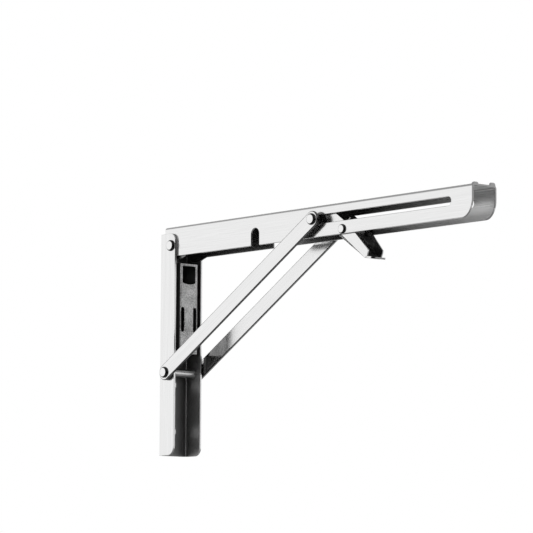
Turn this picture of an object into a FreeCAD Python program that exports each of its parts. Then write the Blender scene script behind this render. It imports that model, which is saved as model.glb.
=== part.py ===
import FreeCAD, Part
import math
import os

V = FreeCAD.Vector

# Driving sizes in millimetres. X runs out from the wall, Y across, Z up.
# wall rail
rail_height = 200.0
rail_width = 32.4
rail_depth = 21.8
rail_sheet = 2.0
rail_bend = 3.0
rail_top_round = 6.5
rail_foot_round = 8.0
# shelf arm
arm_reach = 400.0
arm_height = 27.1
arm_rise = 6.3
arm_back = 5.0
arm_sheet = 1.8
arm_bend = 2.6
arm_tip_round = 12.0
# clearances between pieces that move against each other
side_gap = 0.3
turn_gap = 0.05
# pivots, measured from the wall and from the rail's top
top_out = 15.8
top_drop = 11.0
low_out = 12.4
low_share = 0.314
pin_r = 3.2
head_r = 5.0
head_high = 2.2
# brace bars
brace_wide = 14.2
brace_sheet = 2.5
brace_set_off = 0.8
stud_shoulder = 1.6
low_sleeve_r = 3.8
# notch in the arm that clears the lower pivot when folded
notch_half = 5.4
# slot in the arm for the brace pins
slot_high = 7.5
slot_rise = 5.2
latch_share = 0.4885
slot_spare = 9.8
slide_r = 3.4
# stiffening cheeks round the top pivot
cheek_sheet = 1.0
cheek_half = 9.5
cheek_drop = 12.5
cheek_out = 22.0
cheek_round = 2.0
# release lever
lever_behind = 32.7
lever_drop = 5.7
lever_half = 10.6
lever_sheet = 1.6
lever_taper = 5.5
lever_round = 2.0
lever_neck = 4.6
lever_front = 12.2
lever_back = 6.8
lever_pin_r = 2.5
lever_head_r = 4.1
lever_head_high = 2.0
lever_sleeve_r = 4.2
hook_back = 27.0
hook_high = 16.0
handle_long = 36.4
handle_deep = 8.0
handle_fall = 36.4
finger_long = 10.5
finger_fall = 9.0
spring_r = 5.3
spring_wire = 0.7
spring_turns = 7
spring_leg = 9.0
spring_from = 130.0
spring_to = 233.5
# matt inner channel in the rail
inner_half = 10.7
inner_front = 22.6
inner_sheet = 1.4
inner_bend = 2.2
inner_top_drop = 27.0
inner_foot_rise = 17.1
window_half = 7.5
window_high = 16.7
window_lip = 2.0
window_sag = 1.6
long_slot_high = 22.3
long_slot_half = 2.1
long_slot_side = 7.0
# screw holes
wall_slot_r = 3.0
wall_slot_high = 8.0
wall_low_hole = 22.3
wall_mid_under = 9.9
shelf_hole_r = 2.6
shelf_hole_start = 70.0
shelf_hole_end = 20.0
shelf_hole_step = 80.0

# Values that follow from the driving sizes.
rail_out = rail_width / 2
rail_in = rail_out - rail_sheet
arm_out = rail_in - side_gap
arm_in = arm_out - arm_sheet
arm_top = rail_height + arm_rise
arm_low = arm_top - arm_height
top_pivot = (top_out, rail_height - top_drop)
low_pivot = (low_out, rail_height - low_share * arm_reach)
slot_z = top_pivot[1] + slot_rise
slide_at = (top_pivot[0] + latch_share * arm_reach, slot_z)
brace_span = math.hypot(slide_at[0] - low_pivot[0], slide_at[1] - low_pivot[1])
link_drop = top_pivot[1] - low_pivot[1]
fold_side = top_pivot[0] + slot_rise - low_pivot[0]
folded_out = link_drop + math.sqrt(brace_span ** 2 - fold_side ** 2)
slot_from = slide_at[0] - slide_r - side_gap
slot_to = top_pivot[0] + folded_out + slide_r + slot_spare
lever_pivot = (slide_at[0] + lever_behind, top_pivot[1] - lever_drop)
brace_in = rail_out + side_gap + brace_set_off
brace_out = brace_in + brace_sheet
lever_in = lever_half - lever_sheet
# the arm's slide pins keep under the braces' own studs
slide_head_out = brace_in - stud_shoulder - side_gap


def corner(before, here, after, radius):
    """The two tangent points and the middle of one rounded corner."""
    def unit(to):
        da, db = to[0] - here[0], to[1] - here[1]
        far = math.hypot(da, db)
        return da / far, db / far
    u, w = unit(before), unit(after)
    half = math.acos(max(-1.0, min(1.0, u[0] * w[0] + u[1] * w[1]))) / 2
    back = radius / math.tan(half)
    ma, mb = u[0] + w[0], u[1] + w[1]
    size = math.hypot(ma, mb)
    away = radius / math.sin(half) - radius
    start = (here[0] + u[0] * back, here[1] + u[1] * back)
    middle = (here[0] + ma / size * away, here[1] + mb / size * away)
    end = (here[0] + w[0] * back, here[1] + w[1] * back)
    return start, middle, end


def prism(points, along, low, high):
    """A block with a rounded outline. Points are (a, b) or (a, b, radius)."""
    place = {"x": lambda a, b: V(low, a, b),
             "y": lambda a, b: V(a, low, b),
             "z": lambda a, b: V(a, b, low)}[along]
    step = {"x": V(high - low, 0, 0), "y": V(0, high - low, 0), "z": V(0, 0, high - low)}[along]
    corners = []
    for i, point in enumerate(points):
        radius = point[2] if len(point) > 2 else 0
        if radius > 0:
            corners.append(corner(points[i - 1], point, points[(i + 1) % len(points)], radius))
        else:
            corners.append((point, None, point))
    edges = []
    for i, (start, middle, end) in enumerate(corners):
        left = corners[i - 1][2]
        if math.hypot(start[0] - left[0], start[1] - left[1]) > 1e-5:
            edges.append(Part.makeLine(place(*left[:2]), place(*start[:2])))
        if middle:
            edges.append(Part.Arc(place(*start), place(*middle), place(*end)).toShape())
    return Part.Face(Part.Wire(edges)).extrude(step)


def box(a0, a1, b0, b1, along, low, high, radius=0):
    """A block from two opposite corners, with all four corners rounded alike."""
    return prism([(a0, b0, radius), (a1, b0, radius), (a1, b1, radius), (a0, b1, radius)],
                 along, low, high)


def rod(radius, at, low, high):
    """A round bar across the bracket, at a point (x, z)."""
    return Part.makeCylinder(radius, high - low, V(at[0], low, at[1]), V(0, 1, 0))


def button(radius, at, base, high, way):
    """A flat rivet head with a bevelled rim. way is +1 or -1 along Y."""
    disc = Part.makeCylinder(radius, high, V(at[0], base, at[1]), V(0, way, 0))
    rim = [e for e in disc.Edges if abs(e.BoundBox.YMin - (base + way * high)) < 1e-6
           and abs(e.BoundBox.YMax - (base + way * high)) < 1e-6]
    return disc.makeChamfer(high * 0.6, rim)


def through_pin(radius, at, face, head, high):
    """A rivet across the bracket with a head on each outer face."""
    pin = rod(radius, at, -face, face)
    for way in (-1, 1):
        pin = pin.fuse(button(head, at, way * face, high, way))
    return pin.removeSplitter()


def both_sides(shape):
    """The same piece on the left, at minus Y, and mirrored to the right."""
    return shape, shape.mirror(V(0, 0, 0), V(0, 1, 0))


def u_profile(outer, sheet, bend, depth):
    """Outline of a bent channel: (across, depth) with the web at depth 0."""
    inner = outer - sheet
    tight = max(bend - sheet, 0.3)
    return [(-outer, 0, bend), (outer, 0, bend), (outer, depth), (inner, depth),
            (inner, sheet, tight), (-inner, sheet, tight), (-inner, depth), (-outer, depth)]


def make_rail():
    points = [(d, a, *r) for a, d, *r in u_profile(rail_out, rail_sheet, rail_bend, rail_depth)]
    rail = prism(points, "z", 0, rail_height)
    side = prism([(0, 0), (rail_depth, 0, rail_foot_round),
                  (rail_depth, rail_height, rail_top_round), (0, rail_height)],
                 "y", -rail_out - 1, rail_out + 1)
    rail = rail.common(side)
    cuts = [rod(pin_r, top_pivot, -rail_out - 1, rail_out + 1),
            rod(pin_r + turn_gap, low_pivot, -rail_out - 1, rail_out + 1)]
    for z in (wall_low_hole, low_pivot[1] - wall_mid_under):
        cuts.append(box(-wall_slot_r, wall_slot_r, z - wall_slot_high / 2, z + wall_slot_high / 2,
                        "x", -1, rail_sheet + 1, wall_slot_r))
    window_z = rail_height - inner_top_drop - window_lip - window_high / 2
    cuts.append(Part.makeCylinder(wall_slot_r, rail_sheet + 2, V(-1, 0, window_z), V(1, 0, 0)))
    for cut in cuts:
        rail = rail.cut(cut)
    return rail


def make_inner_channel():
    top = rail_height - inner_top_drop
    low = low_pivot[1] + inner_foot_rise
    deep = inner_front - rail_sheet
    points = [(inner_front - d, a, *r) for a, d, *r in u_profile(inner_half, inner_sheet, inner_bend, deep)]
    plate = prism(points, "z", low, top)
    window_top = top - window_lip
    window_low = window_top - window_high
    cut_from, cut_to = inner_front - inner_sheet - 0.5, inner_front + 1
    # the window's lower edge sags in a shallow arc
    plate = plate.cut(box(-window_half, window_half, window_low + window_sag, window_top, "x",
                          cut_from, cut_to, window_sag / 2))
    sag_r = (window_half ** 2 + window_sag ** 2) / (2 * window_sag)
    sag = Part.makeCylinder(sag_r, cut_to - cut_from, V(cut_from, 0, window_low + sag_r), V(1, 0, 0))
    sag = sag.common(box(-window_half, window_half, window_low - 1, window_low + 2 * window_sag, "x",
                         cut_from, cut_to))
    plate = plate.cut(sag)
    slot_top = low + (top - low) * 0.515
    half = long_slot_half
    for y in (-long_slot_side, long_slot_side):
        plate = plate.cut(box(y - half, y + half, slot_top - long_slot_high, slot_top, "x",
                              cut_from, cut_to, 0.75 * half))
    return plate


def make_arm():
    points = [(a, arm_top - d, *r) for a, d, *r in u_profile(arm_out, arm_sheet, arm_bend, arm_height)]
    arm = prism(points, "x", arm_back, arm_reach)
    heel = arm_height * 0.36
    side = prism([(arm_back, arm_low, heel), (arm_reach, arm_low, arm_tip_round),
                  (arm_reach, arm_top), (arm_back, arm_top, 1.2)], "y", -arm_out - 1, arm_out + 1)
    arm = arm.common(side)
    lip = prism([(6.2, arm_top - 1), (7.4, arm_top + 2.3, 1.3), (12.2, arm_top + 2.3, 1.8),
                 (13.1, arm_top - 1.4)], "x", arm_reach - arm_sheet, arm_reach)
    for ear in both_sides(lip):
        arm = arm.fuse(ear)
    wide = arm_out + 1
    cuts = [rod(pin_r + turn_gap, top_pivot, -wide, wide), rod(lever_pin_r, lever_pivot, -wide, wide)]
    cuts.append(box(slot_from, slot_to, slot_z - slot_high / 2, slot_z + slot_high / 2,
                    "y", -wide, wide, slot_high / 2))
    notch_x = top_pivot[0] + link_drop
    notch_top = top_pivot[1] + notch_half + 0.2
    cuts.append(prism([(notch_x - notch_half, arm_low - 1), (notch_x + notch_half, arm_low - 1),
                       (notch_x + notch_half, notch_top, notch_half),
                       (notch_x - notch_half, notch_top, notch_half)], "y", -wide, wide))
    last = arm_reach - shelf_hole_end
    for x in (shelf_hole_start, shelf_hole_start + shelf_hole_step, last - shelf_hole_step, last):
        start = V(x, 0, arm_top - arm_sheet - 1)
        cuts.append(Part.makeCylinder(shelf_hole_r, arm_sheet + 2, start, V(0, 0, 1)))
    for cut in cuts:
        arm = arm.cut(cut)
    return arm.removeSplitter()


def make_cheek():
    """A thin plate inside the arm's side that stiffens it round the top pivot."""
    x, z = top_pivot
    roof = arm_top - arm_sheet - 0.75 * cheek_round
    cheek = prism([(x - cheek_half, z - cheek_drop, 0.95 * cheek_half),
                   (x + cheek_half, z - cheek_drop, cheek_round),
                   (x + 2 * cheek_half, z - 0.75 * cheek_drop, cheek_round),
                   (x + cheek_out, roof, 2 * cheek_round), (x - cheek_half, roof, 1.5 * cheek_round)],
                  "y", -arm_in, -arm_in + cheek_sheet)
    return cheek.cut(rod(pin_r + turn_gap, top_pivot, -wide_all, wide_all))


def make_brace():
    dx, dz = slide_at[0] - low_pivot[0], slide_at[1] - low_pivot[1]
    turn = math.degrees(math.atan2(dz, dx))
    half = brace_wide / 2
    bar = box(-half, brace_span + half, -half, half, "y", -brace_out, -brace_in, half)
    for x in (0, brace_span):
        bar = bar.cut(rod(pin_r, (x, 0), -brace_out - 1, -brace_in + 1))
    bar.rotate(V(0, 0, 0), V(0, 1, 0), -turn)
    bar.translate(V(low_pivot[0], 0, low_pivot[1]))
    return bar


def ring(outer, inner, at, low, high):
    return rod(outer, at, low, high).cut(rod(inner, at, low - 1, high + 1))


def make_stud():
    """The brace's half of the sliding pin: outer head, shank through the bar and inner shoulder."""
    stud = rod(pin_r, slide_at, -brace_out, -brace_in)
    shoulder = rod(head_r, slide_at, -brace_in, -brace_in + stud_shoulder)
    return stud.fuse([button(head_r, slide_at, -brace_out, head_high, -1), shoulder]).removeSplitter()


def make_slide_pin():
    """A flanged pin that runs in the arm's slot, with a head on each side of the sheet."""
    pin = rod(slide_r, slide_at, -slide_head_out, -lever_half - side_gap)
    outer = rod(head_r, slide_at, -slide_head_out, -arm_out - side_gap)
    inner = rod(head_r, slide_at, -arm_in + side_gap, -lever_half - side_gap)
    return pin.fuse([outer, inner]).removeSplitter()


def make_lever():
    """Two side plates round the pin, a hook behind it and a folded handle with a finger lip."""
    x, z = lever_pivot
    bend_z = z - lever_neck
    heel = (x - lever_back, bend_z)
    fall = math.radians(handle_fall)
    join = lever_sheet / 4
    slope = math.tan(math.radians(lever_taper))

    def at(along, deep):
        """A point on the handle, measured from its heel along its back and in from it."""
        return (heel[0] + along * math.cos(fall) + deep * math.sin(fall),
                heel[1] - along * math.sin(fall) + deep * math.cos(fall))

    def reach(height):
        """Half the handle's width at a height, which narrows towards the tip."""
        return lever_half - slope * (bend_z - height) - join / 2

    upper = [(x - hook_back, z + hook_high, 1.5 * lever_round),
             (x - hook_back, z + 0.39 * hook_high, lever_round),
             (x - 0.52 * hook_back, z - 0.06 * hook_high, 2.5 * lever_round),
             heel, (x + lever_front, bend_z),
             (x - 0.07 * hook_back, z + 0.5 * hook_high, 4 * lever_round),
             (x - 0.45 * hook_back, z + 0.94 * hook_high, 1.5 * lever_round),
             (x - 0.52 * hook_back, z + hook_high)]
    lower = [(heel[0] - join, bend_z + join), (*at(handle_long, 0), 0.5 * lever_round),
             (*at(1.037 * handle_long, 0.34 * handle_deep), 0.4 * lever_round),
             (*at(handle_long, handle_deep), lever_round), (x + lever_front + join, bend_z + join)]
    up = prism(upper, "y", -lever_half, -lever_in)
    down = prism(lower, "y", -lever_half, -lever_in)
    down.rotate(V(x, -lever_half, bend_z), V(1, 0, 0), lever_taper)
    side = up.fuse(down)
    lever = side.fuse(side.mirror(V(0, 0, 0), V(0, 1, 0)))

    # back wall of the handle
    flat = [at(0.2 * handle_long, 0), at(0.99 * handle_long, 0),
            at(0.99 * handle_long, lever_sheet), at(0.2 * handle_long, lever_sheet)]
    near = [V(a, -reach(b), b) for a, b in flat]
    away = [V(a, reach(b), b) for a, b in flat]
    faces = [Part.Face(Part.makePolygon(near + near[:1])), Part.Face(Part.makePolygon(away + away[:1]))]
    for i in range(4):
        j = (i + 1) % 4
        faces.append(Part.Face(Part.makePolygon([near[i], near[j], away[j], away[i], near[i]])))
    wall = Part.Solid(Part.Shell(faces))
    if wall.Volume < 0:
        wall.reverse()

    # finger lip at the tip
    tip = at(0.99 * handle_long, 0)
    wide = reach(tip[1])
    lip = prism([(0, -wide), (finger_long, -wide, 2 * lever_round), (finger_long, wide, 2 * lever_round),
                 (0, wide)], "z", 0, lever_sheet)
    lip.rotate(V(0, 0, 0), V(0, 1, 0), finger_fall)
    lip.translate(V(tip[0] - 1.5 * join, 0, tip[1] + join / 2))
    lever = lever.fuse([wall, lip])
    return lever.cut(rod(lever_pin_r + turn_gap, lever_pivot, -wide_all, wide_all)).removeSplitter()


def make_spring():
    """Torsion spring round the lever's pin: a six-sided wire swept along a leg, the coil and a leg."""
    pitch = 2 * spring_wire + 0.6
    turns = spring_turns + (spring_to - spring_from) / 360
    long = pitch * turns
    steps = round(12 * turns)
    rise = pitch / (2 * math.pi * spring_r)

    def section(angle, y, along):
        out = V(math.cos(angle), 0, math.sin(angle))
        run = V(-math.sin(angle), rise, math.cos(angle)).normalize()
        up = run.cross(out)
        middle = out * spring_r + V(0, y, 0) + run * along
        ring = [middle + out * (spring_wire * math.cos(k * math.pi / 3))
                + up * (spring_wire * math.sin(k * math.pi / 3)) for k in range(6)]
        return Part.makePolygon(ring + ring[:1])

    first = math.radians(spring_from)
    last = first + 2 * math.pi * turns
    wires = [section(first, -long / 2, -spring_leg)]
    for k in range(steps + 1):
        wires.append(section(first + (last - first) * k / steps, long * (k / steps - 0.5), 0))
    wires.append(section(last, long / 2, spring_leg))
    spring = Part.makeLoft(wires, True, True)
    spring.translate(V(lever_pivot[0], 0, lever_pivot[1]))
    return spring


wide_all = brace_out + 10
nodes = {
    "wall_rail": make_rail(),
    "rail_inner_channel": make_inner_channel(),
    "top_pivot_pin": through_pin(pin_r, top_pivot, rail_out, head_r, head_high),
    "shelf_arm": make_arm(),
    "lower_pivot_pin": through_pin(pin_r, low_pivot, brace_out, head_r, head_high),
    "lower_pivot_sleeve": ring(low_sleeve_r, pin_r, low_pivot, -rail_in + side_gap, rail_in - side_gap),
    "release_lever": make_lever(),
    "lever_pin": through_pin(lever_pin_r, lever_pivot, arm_out, lever_head_r, lever_head_high),
    "lever_sleeve": ring(lever_sleeve_r, lever_pin_r, lever_pivot, -lever_in + side_gap, lever_in - side_gap),
    "lever_spring": make_spring(),
}
pairs = {
    "pivot_cheek": make_cheek(),
    "brace": make_brace(),
    "brace_washer": ring(head_r * 1.18, pin_r, low_pivot, -brace_in, -brace_in + brace_set_off),
    "brace_stud": make_stud(),
    "slide_pin": make_slide_pin(),
}
for name, shape in pairs.items():
    nodes[name + "_left"], nodes[name + "_right"] = both_sides(shape)

os.makedirs("parts", exist_ok=True)
for name, shape in nodes.items():
    shape.translate(V(0, 0, -rail_height / 2))
    shape.exportStep("parts/%s.step" % name)
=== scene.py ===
import math

import bmesh
import bpy
from mathutils import Matrix, Vector


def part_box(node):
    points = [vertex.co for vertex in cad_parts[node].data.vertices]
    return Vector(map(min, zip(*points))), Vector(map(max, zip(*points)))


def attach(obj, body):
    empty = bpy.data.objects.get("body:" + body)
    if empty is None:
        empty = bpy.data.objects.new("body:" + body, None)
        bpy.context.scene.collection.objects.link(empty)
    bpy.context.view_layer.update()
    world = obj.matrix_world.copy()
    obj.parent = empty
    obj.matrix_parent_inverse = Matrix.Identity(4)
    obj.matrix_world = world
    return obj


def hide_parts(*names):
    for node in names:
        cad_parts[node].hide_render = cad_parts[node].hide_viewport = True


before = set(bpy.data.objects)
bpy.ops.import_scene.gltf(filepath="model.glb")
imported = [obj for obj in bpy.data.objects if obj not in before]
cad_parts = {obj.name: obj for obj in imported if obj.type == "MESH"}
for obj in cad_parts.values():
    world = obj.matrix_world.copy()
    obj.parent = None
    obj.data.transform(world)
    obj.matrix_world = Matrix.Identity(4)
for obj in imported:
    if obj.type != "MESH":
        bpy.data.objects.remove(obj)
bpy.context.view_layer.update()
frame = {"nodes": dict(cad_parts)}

nodes = frame["nodes"]
mm = 0.001

# Camera, as found from the photograph: a long lens, a little under the bracket and to its right.
camera_place = Vector((2.0828, -1.6742, -0.2297))
camera_target = Vector((0.1298, 0.0, 0.0618))
camera_roll = 0.005157
focal_pixels = 2956.0
image_pixels = 533.0
sensor_mm = 36.0

# Cards that the metal mirrors: direction, distance, dark to this radius, clear from this one, height
# against width, grey level.
cards = {
    "camera_card": (Vector((0.75, -0.65, -0.3)), 1.5, 1.6, 2.7, 0.62, 0.01),
    "low_card": (Vector((-0.05, 0.65, -0.75)), 1.0, 0.5, 0.85, 1.0, 0.02),
    "under_card": (Vector((0, 0, -1)), 0.6, 0.7, 2.4, 1.0, 0.25),
    "ceiling_card": (Vector((0, 0, 1)), 1.0, 1.5, 3.0, 1.0, 0.35),
}
floor_depth = -1.5
floor_half = 12.0
floor_rough = 0.9


def grey(level):
    """A plain grey."""
    return (level, level, level, 1)


# Colours of the metal and the floor. The greys for the slide pins, edges, arm end, rivet rims and the inner
# channel's depth are painted shade.
bare_steel = grey(0.83)
rivet_steel = grey(0.85)
cast_grey = grey(0.42)
wire_grey = grey(0.74)
oiled_steel = grey(0.68)
pin_shade_grey = grey(0.16)
edge_shade_grey = grey(0.12)
end_shade_grey = grey(0.36)
rim_shade_grey = grey(0.05)
depth_painted_shade = grey(0.02)
floor_pale = grey(0.93)

# Brushed steel: how far the streaks change the colour, the strength and height of their relief, their
# least and most roughness against the plain one, how far the clouds change it, and the clouds' width.
grain = 0.05
streak_bump, streak_high = 0.03, 0.05 * mm
streak_least, streak_most = 0.8, 1.2
smudge = 0.02
cloud_wide = 22 * mm

# Matt steel: width of the specks and of the patches, the patches' share, the noise values between which
# the speckle goes from dark to light, how dark and how light it gets, and its relief.
speck_wide = 0.9 * mm
patch_wide = 9 * mm
patch_share = 0.35
speck_from, speck_to = 0.52, 0.82
speck_dark, speck_light = 0.4, 1.6
speck_bump, speck_high = 0.25, 0.08 * mm
matt_metallic, matt_rough = 0.35, 0.6


# Materials

def new_material(name):
    """A material with its node tree and its shader."""
    material = bpy.data.materials.new(name)
    material.use_nodes = True
    return material, material.node_tree, material.node_tree.nodes["Principled BSDF"]


def node_in(tree, kind, **sockets):
    """One shader node with its inputs set by name."""
    node = tree.nodes.new(kind)
    for name, value in sockets.items():
        node.inputs[name.replace("_", " ")].default_value = value
    return node


def feed(tree, node, values):
    """A node's inputs in their order. Each value is a constant or another node's output."""
    for socket, value in zip(node.inputs, values):
        if isinstance(value, bpy.types.NodeSocket):
            tree.links.new(value, socket)
        else:
            socket.default_value = value


def blend(tree, kind, *values):
    """One maths node."""
    node = tree.nodes.new("ShaderNodeMath")
    node.operation = kind
    feed(tree, node, values)
    return node.outputs["Value"]


def mixed(tree, share, first, second, kind="MIX"):
    """One node that mixes two colours."""
    node = tree.nodes.new("ShaderNodeMixRGB")
    node.blend_type = kind
    feed(tree, node, (share, first, second))
    return node.outputs["Color"]


def spread(tree, value, low, high, low_from=0.3, high_from=0.7):
    """A value mapped from one range to another. A noise value mostly lies between 0.3 and 0.7."""
    node = node_in(tree, "ShaderNodeMapRange", From_Min=low_from, From_Max=high_from, To_Min=low, To_Max=high)
    tree.links.new(value, node.inputs["Value"])
    return node.outputs["Result"]


def noise(tree, where, scale, detail, rough):
    """A noise value at the given coordinates."""
    node = node_in(tree, "ShaderNodeTexNoise", Scale=scale, Detail=detail, Roughness=rough)
    tree.links.new(where, node.inputs["Vector"])
    return node.outputs["Fac"]


def relief(tree, shader, height, strength, distance):
    """A fine relief on the surface."""
    node = node_in(tree, "ShaderNodeBump", Strength=strength, Distance=distance)
    tree.links.new(height, node.inputs["Height"])
    tree.links.new(node.outputs["Normal"], shader.inputs["Normal"])


def times(colour, factor):
    """A colour made darker or lighter."""
    return tuple(min(c * factor, 1) for c in colour[:3]) + (1,)


def grain_coords(tree, where, along, fine, long):
    """Coordinates turned so that the grain runs along a direction, then stretched."""
    turn = Vector(along).rotation_difference(Vector((1, 0, 0))).to_euler()
    turned = node_in(tree, "ShaderNodeMapping", Rotation=turn)
    tree.links.new(where, turned.inputs["Vector"])
    sized = node_in(tree, "ShaderNodeMapping", Scale=(1 / long, 1 / fine, 1 / fine))
    tree.links.new(turned.outputs["Vector"], sized.inputs["Vector"])
    return sized.outputs["Vector"]


def outer_side(tree, where, planes):
    """One on the sheet's outer side of any plane, zero inside. Y counts from the middle plane both ways."""
    split = tree.nodes.new("ShaderNodeSeparateXYZ")
    tree.links.new(where, split.inputs["Vector"])
    folded = tree.nodes.new("ShaderNodeCombineXYZ")
    tree.links.new(split.outputs["X"], folded.inputs["X"])
    tree.links.new(blend(tree, "ABSOLUTE", split.outputs["Y"]), folded.inputs["Y"])
    tree.links.new(split.outputs["Z"], folded.inputs["Z"])
    outer = None
    for normal, distance in planes:
        height = tree.nodes.new("ShaderNodeVectorMath")
        height.operation = "DOT_PRODUCT"
        feed(tree, height, (folded.outputs["Vector"], normal))
        beyond = blend(tree, "GREATER_THAN", height.outputs["Value"], distance)
        outer = blend(tree, "MAXIMUM", outer, beyond) if outer else beyond
    return outer


def steel(name, colour, along, rough=0.17, fine=0.5 * mm, long=45 * mm,
          outer=(), inner_rough=0.36, inner_painted_shade=0.9, shade_fade=None):
    """Brushed sheet steel: streaks along the rolling direction and cloudy handling marks. Inside its outer
    planes it is duller and painted darker as shade; the painted shade fades along X as (from, to, shade)
    says."""
    material, tree, shader = new_material(name)
    shader.inputs["Metallic"].default_value = 1.0
    where = tree.nodes.new("ShaderNodeTexCoord").outputs["Object"]
    streaks = noise(tree, grain_coords(tree, where, along, fine, long), scale=1.0, detail=4.0, rough=0.6)
    clouds = noise(tree, where, scale=1 / cloud_wide, detail=3.0, rough=0.55)
    tint = mixed(tree, spread(tree, streaks, 0, 1), times(colour, 1 - grain), times(colour, 1 + grain))
    if outer:
        side = outer_side(tree, where, outer)
        rough = spread(tree, side, inner_rough, rough, 0, 1)
        shade = grey(inner_painted_shade)
        if shade_fade:
            start, end, end_shade = shade_fade
            split = tree.nodes.new("ShaderNodeSeparateXYZ")
            tree.links.new(where, split.inputs["Vector"])
            shade = spread(tree, split.outputs["X"], inner_painted_shade, end_shade, start, end)
        tint = mixed(tree, blend(tree, "SUBTRACT", 1, side), tint, shade, "MULTIPLY")
    tree.links.new(tint, shader.inputs["Base Color"])
    worn = spread(tree, clouds, -smudge, smudge)
    brushed = spread(tree, streaks, streak_least, streak_most)
    wear = blend(tree, "MULTIPLY_ADD", brushed, rough, worn)
    tree.links.new(wear, shader.inputs["Roughness"])
    relief(tree, shader, streaks, streak_bump, streak_high)
    return material


def matt_steel(name, colour, front):
    """Matt grey sheet with a coarse speckle on its front; behind its front planes it is painted near black as
    shade.
    """
    material, tree, shader = new_material(name)
    shader.inputs["Metallic"].default_value = matt_metallic
    shader.inputs["Roughness"].default_value = matt_rough
    where = tree.nodes.new("ShaderNodeTexCoord").outputs["Object"]
    specks = noise(tree, where, scale=1 / speck_wide, detail=2.0, rough=0.6)
    patches = noise(tree, where, scale=1 / patch_wide, detail=2.0, rough=0.5)
    both = blend(tree, "MULTIPLY_ADD", patches, patch_share, specks)
    speckle = spread(tree, both, 0, 1, speck_from, speck_to)
    tint = mixed(tree, speckle, times(colour, speck_dark), times(colour, speck_light))
    in_front = blend(tree, "MULTIPLY", *[outer_side(tree, where, [plane]) for plane in front])
    tree.links.new(mixed(tree, in_front, depth_painted_shade, tint), shader.inputs["Base Color"])
    relief(tree, shader, specks, speck_bump, speck_high)
    return material


# Planes between the outer and the inner side of each sheet, as a normal and a distance. They lie a little
# under the outer face. Inside them the sheet is painted darker as shade.
under_face = 0.9 * mm
under_web = 0.8 * mm
under_front, under_side = 0.7 * mm, 0.8 * mm
end_lip = 2.3 * mm
rail_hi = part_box("wall_rail")[1]
arm_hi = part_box("shelf_arm")[1]
lever_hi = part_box("release_lever")[1]
brace_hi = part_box("brace_right")[1]
channel_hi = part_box("rail_inner_channel")[1]
web_top = arm_hi.z - end_lip
# the rail's inner corners are kept out of the painted shade, bright beside its shade-painted inner faces
rail_corner = 11.3 * mm
rail_outer = [((0, 1, 0), rail_hi.y - under_face), ((-1, 0, 0), -under_face), ((-1, 1, 0), rail_corner)]
arm_outer = [((0, 1, 0), arm_hi.y - under_face), ((0, 0, 1), web_top - under_web)]
brace_outer = [((0, 1, 0), brace_hi.y - under_face)]
# the lever's side plates lean in towards the tip, from its neck down
lever_lean = 0.096
lever_neck_z = 0.0787
lever_face = lever_hi.y - under_face
lever_outer = [((0, 1, 0), lever_face), ((0, 1, -lever_lean), lever_face - lever_lean * lever_neck_z)]
channel_front = [((1, 0, 0), channel_hi.x - under_front), ((0, -1, 0), under_side - channel_hi.y)]


def middle_of(node):
    """The middle of a CAD piece's box."""
    lo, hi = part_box(node)
    return (lo + hi) / 2


brace_run = middle_of("brace_stud_left") - middle_of("lower_pivot_pin")
brace_run.y = 0
up, outward, across = (0, 0, 1), (1, 0, 0), (0, 1, 0)
handle_run = (0.8, 0, -0.6)
# where the painted shade on the inner sides of the rail and the arm fades, and how light it ends
rail_shade_fade = (2 * mm, rail_hi.x, 0.9)
arm_shade_fade = (265 * mm, arm_hi.x, 0.85)

# the inner sides of these sheets are painted darker as shade, fading along X on the rail and the arm
rail_metal = steel("rail_brushed", bare_steel, up, outer=rail_outer, inner_rough=0.5, inner_painted_shade=0.3,
                   shade_fade=rail_shade_fade)
arm_metal = steel("arm_brushed", bare_steel, outward, outer=arm_outer, inner_rough=0.3, inner_painted_shade=0.3,
                  shade_fade=arm_shade_fade)
brace_metal = steel("brace_brushed", bare_steel, brace_run)
# only the near brace has its inner side painted dark as shade
near_brace_shaded_metal = steel("near_brace_painted_shade", bare_steel, brace_run, outer=brace_outer, inner_painted_shade=0.25)
lever_metal = steel("lever_brushed", bare_steel, handle_run, outer=lever_outer, inner_rough=0.32,
                    inner_painted_shade=0.33)
rivet_metal = steel("rivet_polished", rivet_steel, across, rough=0.11, fine=0.8 * mm, long=0.8 * mm)
# the rivet heads' rims are painted near black as shade
rim_shade_metal = steel("rim_painted_shade", rim_shade_grey, across, rough=0.3, fine=0.3 * mm, long=0.8 * mm)
oiled_metal = steel("oiled_turned", oiled_steel, up, rough=0.3, long=4 * mm)
# the slide pins are painted near black as shade
pin_shade_metal = steel("slide_pin_painted_shade", pin_shade_grey, across, rough=0.4, long=4 * mm)
wire_metal = steel("spring_wire", wire_grey, across, rough=0.25, fine=0.3 * mm, long=1 * mm)
inner_metal = matt_steel("inner_matt", cast_grey, channel_front)
# the sheared edges and the arm's end are painted dark grey as shade
edge_shade_metal = steel("edge_painted_shade", edge_shade_grey, up, rough=0.4, fine=0.3 * mm, long=0.3 * mm)
end_shade_metal = steel("end_painted_shade", end_shade_grey, up, rough=0.4, fine=0.3 * mm, long=0.3 * mm)


# Sheet pieces

# Welding distance for the CAD meshes, the angle under which two faces are one, and the angle over which
# two faces meet in an edge.
weld = 0.002 * mm
flat_angle = math.radians(0.5)
edge_angle = math.radians(38)

# Forms that the photograph shows on the arm's end and on the lever's handle.
tip_round = 12 * mm
tip_tall = 15.5 * mm
near_ear = 0.6
end_depth = 3 * mm
handle_fall = math.radians(36.4)
handle_bend = 1.3 * mm
# how a face is told by its normal, how long and how sharp the lever's folds are, and a hair's breadth
facing, square_on = 0.9, 0.98
fold_long = 12 * mm
fold_turn = 1.0
hair = 0.01 * mm


def put(name, data):
    """A new object in the scene."""
    piece = bpy.data.objects.new(name, data)
    bpy.context.scene.collection.objects.link(piece)
    return piece


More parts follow.
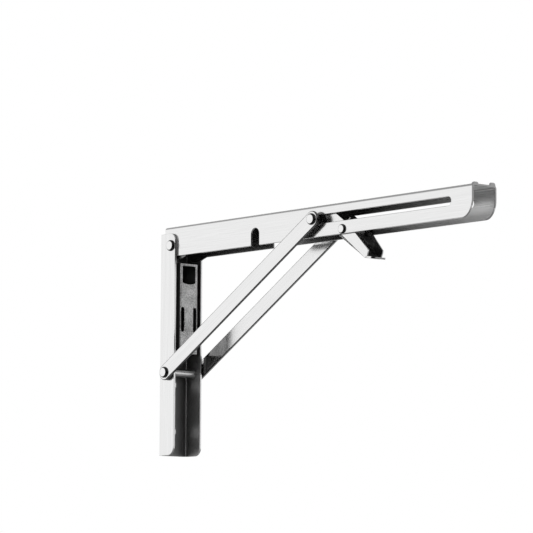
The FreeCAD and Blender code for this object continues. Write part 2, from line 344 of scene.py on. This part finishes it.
def formed(name, node, body):
    """A copy of a CAD piece in flat faces, to be given rounded edges and the forms in the photograph."""
    shape = bmesh.new()
    shape.from_mesh(nodes[node].data)
    shape.transform(nodes[node].matrix_world)
    bmesh.ops.remove_doubles(shape, verts=shape.verts, dist=weld)
    bmesh.ops.dissolve_limit(shape, angle_limit=flat_angle, verts=shape.verts, edges=shape.edges)
    piece = put(name, bpy.data.meshes.new(name))
    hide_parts(node)
    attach(piece, body)
    return piece, shape


def finish_form(piece, shape):
    """The piece gets the shape as its mesh."""
    shape.to_mesh(piece.data)
    shape.free()
    piece.data.shade_smooth()
    piece.data.set_sharp_from_angle(angle=edge_angle)
    return piece


def arm_form():
    """The arm's lower end corners are drawn out into tall curves, its near upper ear is low, and its sheared
    end takes the second material, painted grey as shade."""
    piece, shape = formed("arm_channel", "shelf_arm", "arm_body")
    lo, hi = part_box("shelf_arm")
    for point in shape.verts:
        if point.co.x > hi.x - tip_round - hair and point.co.z < lo.z + tip_round + hair:
            point.co.z = lo.z + (point.co.z - lo.z) * tip_tall / tip_round
        if point.co.z > web_top + hair and point.co.y < 0:
            point.co.z = web_top + (point.co.z - web_top) * near_ear
    for side in shape.faces:
        if side.normal.x > facing and side.calc_center_median().x > hi.x - end_depth:
            side.material_index = 1
    return finish_form(piece, shape)


def lever_form():
    """The lever's side plates run round into its back wall in a bend."""
    piece, shape = formed("lever_folded", "release_lever", "lever_body")
    back = Vector((-math.sin(handle_fall), 0, -math.cos(handle_fall)))
    folds = []
    for edge in shape.edges:
        if len(edge.link_faces) == 2 and edge.calc_length() > fold_long:
            walls = [face.normal.dot(back) for face in edge.link_faces]
            sides = [abs(face.normal.y) for face in edge.link_faces]
            sharp = edge.calc_face_angle_signed() > fold_turn
            if max(walls) > square_on and max(sides) > facing and sharp:
                folds.append(edge)
    bmesh.ops.bevel(shape, geom=folds, offset=handle_bend, segments=5, profile=0.5, affect="EDGES",
                    clamp_overlap=False)
    return finish_form(piece, shape)


pieces = {
    **nodes,
    "shelf_arm": arm_form(),
    "release_lever": lever_form(),
    "wall_rail": finish_form(*formed("rail_channel", "wall_rail", "rail_body")),
    "rail_inner_channel": finish_form(*formed("rail_insert", "rail_inner_channel", "rail_body")),
    "brace_left": finish_form(*formed("brace_bar_left", "brace_left", "brace_body")),
    "brace_right": finish_form(*formed("brace_bar_right", "brace_right", "brace_body")),
}

# Each sheet or plain piece with its finish and the width of its rounded edges, if it has any. Edges from
# broad_edge up are rounded more finely.
broad_edge = 0.5 * mm
finish_of = {
    "wall_rail": (rail_metal, 0.22 * mm),
    "rail_inner_channel": (inner_metal, 0.15 * mm),
    "shelf_arm": (arm_metal, 0.3 * mm),
    "pivot_cheek_left": (arm_metal, 0),
    "pivot_cheek_right": (arm_metal, 0),
    "brace_left": (near_brace_shaded_metal, 0.7 * mm),
    "brace_right": (brace_metal, 0.7 * mm),
    "brace_washer_left": (oiled_metal, 0),
    "brace_washer_right": (oiled_metal, 0),
    "slide_pin_left": (pin_shade_metal, 0),
    "slide_pin_right": (pin_shade_metal, 0),
    "lower_pivot_sleeve": (oiled_metal, 0),
    "lever_sleeve": (oiled_metal, 0),
    "release_lever": (lever_metal, 0.15 * mm),
}
# Edges painted darker than their sheet, as shade.
sheared = {"shelf_arm": end_shade_metal, "brace_left": edge_shade_metal, "brace_right": edge_shade_metal}


def dress(piece, material, edge, edge_material):
    """A piece gets its finish and a fine rounding along its sheared edges; the rounding takes the second
    material, painted shade on the arm and braces.
    """
    if piece.data.materials:
        piece.data.materials.clear()
    piece.data.materials.append(material)
    if edge:
        piece.data.materials.append(edge_material)
        bevel = piece.modifiers.new("edge", "BEVEL")
        bevel.width = edge
        bevel.segments = 2 if edge < broad_edge else 4
        bevel.limit_method = "ANGLE"
        bevel.angle_limit = edge_angle
        bevel.use_clamp_overlap = False
        bevel.harden_normals = True
        bevel.material = 1


for name, (material, edge) in finish_of.items():
    dress(pieces[name], material, edge, sheared.get(name, material))


# Turned pieces

turned_angle = math.radians(40)
on_axis = 1e-7
# Shank against head radius.
pivot_shank = 0.627
lever_shank = 0.61
shoulder_chamfer = 0.15 * mm
# Share of a rivet head's radius from which its rounded rim is painted dark as shade.
rim_share = 0.78
# A head's flat top against its radius, and its foot wall and dome against its height.
head_flat = 0.7
head_wall = 0.1
head_dome = 0.07


def lathe(name, axis, outline, turns=96):
    """A solid of revolution about a line along Y. The outline is (y, radius) from end to end."""
    shape = bmesh.new()
    rings = []
    for y, radius in outline:
        if radius < on_axis:
            rings.append([shape.verts.new((axis.x, y, axis.z))])
            continue
        angles = [2 * math.pi * k / turns for k in range(turns)]
        rings.append([shape.verts.new((axis.x + radius * math.cos(a), y, axis.z + radius * math.sin(a)))
                      for a in angles])
    for here, there in zip(rings, rings[1:]):
        for k in range(turns):
            corners = [here[k % len(here)], here[(k + 1) % len(here)],
                       there[(k + 1) % len(there)], there[k % len(there)]]
            shape.faces.new(list(dict.fromkeys(corners)))
    bmesh.ops.recalc_face_normals(shape, faces=shape.faces)
    mesh = bpy.data.meshes.new(name)
    shape.to_mesh(mesh)
    shape.free()
    mesh.shade_smooth()
    mesh.set_sharp_from_angle(angle=turned_angle)
    return put(name, mesh)


def polish_heads(piece, axis, radius, face):
    """A rivet is polished, and the rounded rim of each head beyond the face it stands on is painted dark as
    shade.
    """
    piece.data.materials.append(rivet_metal)
    piece.data.materials.append(rim_shade_metal)
    for side in piece.data.polygons:
        out_by = math.hypot(side.center.x - axis.x, side.center.z - axis.z)
        if out_by > rim_share * radius and abs(side.center.y) > face:
            side.material_index = 1


def head_outline(face, radius, high, rim_steps=12, top_steps=4):
    """A rivet head from its rim's foot to its middle: short wall, rounded rim, slightly domed top."""
    wall = head_wall * high
    points = [(face, radius), (face + wall, radius)]
    for k in range(1, rim_steps + 1):
        angle = math.pi / 2 * k / rim_steps
        points.append((face + wall + ((1 - head_dome) * high - wall) * math.sin(angle),
                       radius * (head_flat + (1 - head_flat) * math.cos(angle))))
    for k in range(1, top_steps + 1):
        share = 1 - k / top_steps
        points.append((face + high - head_dome * high * share ** 2, radius * head_flat * share))
    return points


def rivet(name, node, face, shank_share):
    """A through rivet in place of a CAD pin, headed on both outer faces."""
    lo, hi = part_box(node)
    axis = middle_of(node)
    radius = (hi.x - lo.x) / 2
    shank = radius * shank_share
    top = head_outline(face, radius, hi.y - face)
    outline = [(-y, r) for y, r in reversed(top)] + [(-face, shank), (face, shank)] + top
    piece = lathe(name, axis, outline)
    polish_heads(piece, axis, radius, face)
    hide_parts(node)
    return piece


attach(rivet("top_pivot_rivet", "top_pivot_pin", rail_hi.y, pivot_shank), "rail_body")
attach(rivet("lower_pivot_rivet", "lower_pivot_pin", brace_hi.y, pivot_shank), "brace_body")
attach(rivet("lever_rivet", "lever_pin", arm_hi.y, lever_shank), "arm_body")


def brace_rivet(side, way):
    """The rivet at a brace's sliding end: inner shoulder, shank and outer head, outward along Y times way."""
    node = "brace_stud_" + side
    lo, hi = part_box(node)
    axis = middle_of(node)
    radius = (hi.x - lo.x) / 2
    foot, end = sorted((way * lo.y, way * hi.y))
    inner, outer = sorted(way * corner.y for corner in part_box("brace_" + side))
    shank = radius * pivot_shank
    outline = [(foot, 0), (foot, radius - shoulder_chamfer), (foot + shoulder_chamfer, radius),
               (inner, radius), (inner, shank), (outer, shank)] + head_outline(outer, radius, end - outer)
    piece = lathe("brace_rivet_" + side, axis, [(way * y, r) for y, r in outline])
    polish_heads(piece, axis, radius, outer)
    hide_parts(node)
    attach(piece, "brace_body")


brace_rivet("left", -1)
brace_rivet("right", 1)


# Torsion spring

wire_radius = 0.7 * mm
wire_gap = 0.6 * mm
coil_radius = 5.3 * mm
leg_long = 9 * mm
full_turns = 7
# degrees about the pin at which the two legs leave the coil
first_leg, last_leg = 130, 233.5
steps_a_turn = 40


def torsion_spring():
    """Round wire wound about the lever's pin, with a leg at each end."""
    lo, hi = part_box("lever_pin")
    x, z = (lo.x + hi.x) / 2, (lo.z + hi.z) / 2
    turns = full_turns + (last_leg - first_leg) / 360
    first = math.radians(first_leg)
    last = first + 2 * math.pi * turns
    long = (2 * wire_radius + wire_gap) * turns
    steps = round(steps_a_turn * turns)
    route = []
    for k in range(steps + 1):
        angle = first + (last - first) * k / steps
        route.append(Vector((x + coil_radius * math.cos(angle), long * (k / steps - 0.5),
                             z + coil_radius * math.sin(angle))))
    start_run = Vector((math.sin(first), 0, -math.cos(first)))
    end_run = Vector((-math.sin(last), 0, math.cos(last)))
    route.insert(0, route[0] + start_run * leg_long)
    route.append(route[-1] + end_run * leg_long)
    curve = bpy.data.curves.new("torsion_spring", "CURVE")
    curve.dimensions = "3D"
    curve.bevel_depth = wire_radius
    curve.bevel_resolution = 4
    curve.use_fill_caps = True
    line = curve.splines.new("POLY")
    line.points.add(len(route) - 1)
    for point, place in zip(line.points, route):
        point.co = (*place, 1)
    curve.materials.append(wire_metal)
    piece = put("torsion_spring", curve)
    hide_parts("lever_spring")
    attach(piece, "lever_body")


torsion_spring()


# Stage, light and camera

def stage_floor():
    """A wide pale floor well under the bracket, as it hangs on a wall."""
    shape = bmesh.new()
    bmesh.ops.create_grid(shape, x_segments=1, y_segments=1, size=floor_half)
    mesh = bpy.data.meshes.new("floor")
    shape.to_mesh(mesh)
    shape.free()
    floor = put("floor", mesh)
    floor.location = (0, 0, floor_depth)
    material, _, shader = new_material("floor_pale")
    shader.inputs["Base Color"].default_value = floor_pale
    shader.inputs["Roughness"].default_value = floor_rough
    mesh.materials.append(material)


def studio_world():
    """A plain white world, the same for every kind of ray."""
    world = bpy.data.worlds.new("studio")
    bpy.context.scene.world = world
    world.use_nodes = True
    room = world.node_tree.nodes["Background"]
    room.inputs["Color"].default_value = grey(1)
    room.inputs["Strength"].default_value = 1.0


def studio_card(name, toward, distance, dark, clear, tall, level):
    """A round or oval grey card off stage that fades out at its rim. Only reflections show it."""
    shape = bmesh.new()
    bmesh.ops.create_circle(shape, cap_ends=True, segments=64, radius=clear)
    mesh = bpy.data.meshes.new(name)
    shape.to_mesh(mesh)
    shape.free()
    card = put(name, mesh)
    card.location = camera_target + toward.normalized() * distance
    card.rotation_euler = toward.to_track_quat("Z", "Y").to_euler()
    card.scale = (1, tall, 1)

    material, tree, _ = new_material(name)
    tree.nodes.clear()
    place = tree.nodes.new("ShaderNodeTexCoord")
    out_by = tree.nodes.new("ShaderNodeVectorMath")
    out_by.operation = "LENGTH"
    tree.links.new(place.outputs["Object"], out_by.inputs[0])
    lit = node_in(tree, "ShaderNodeEmission", Color=grey(level), Strength=1.0)
    through = tree.nodes.new("ShaderNodeBsdfTransparent")
    fade = spread(tree, out_by.outputs["Value"], 0, 1, dark, clear)
    mix = tree.nodes.new("ShaderNodeMixShader")
    for socket, source in zip(mix.inputs, (fade, lit.outputs["Emission"], through.outputs["BSDF"])):
        tree.links.new(source, socket)
    out = tree.nodes.new("ShaderNodeOutputMaterial")
    tree.links.new(mix.outputs["Shader"], out.inputs["Surface"])
    mesh.materials.append(material)
    card.visible_camera = False
    card.visible_diffuse = False
    card.visible_transmission = False
    card.visible_shadow = False


def photo_camera():
    """The photograph's camera."""
    data = bpy.data.cameras.new("camera")
    data.sensor_width = sensor_mm
    data.lens = focal_pixels / image_pixels * sensor_mm
    data.clip_start, data.clip_end = 0.05, 60
    camera = put("camera", data)
    forward = (camera_target - camera_place).normalized()
    aim = forward.to_track_quat("-Z", "Y").to_matrix().to_4x4()
    camera.matrix_world = Matrix.Translation(camera_place) @ aim @ Matrix.Rotation(camera_roll, 4, "Z")
    bpy.context.scene.camera = camera


stage_floor()
studio_world()
for name, card in cards.items():
    studio_card(name, *card)
photo_camera()
bpy.context.scene.view_settings.view_transform = "Standard"
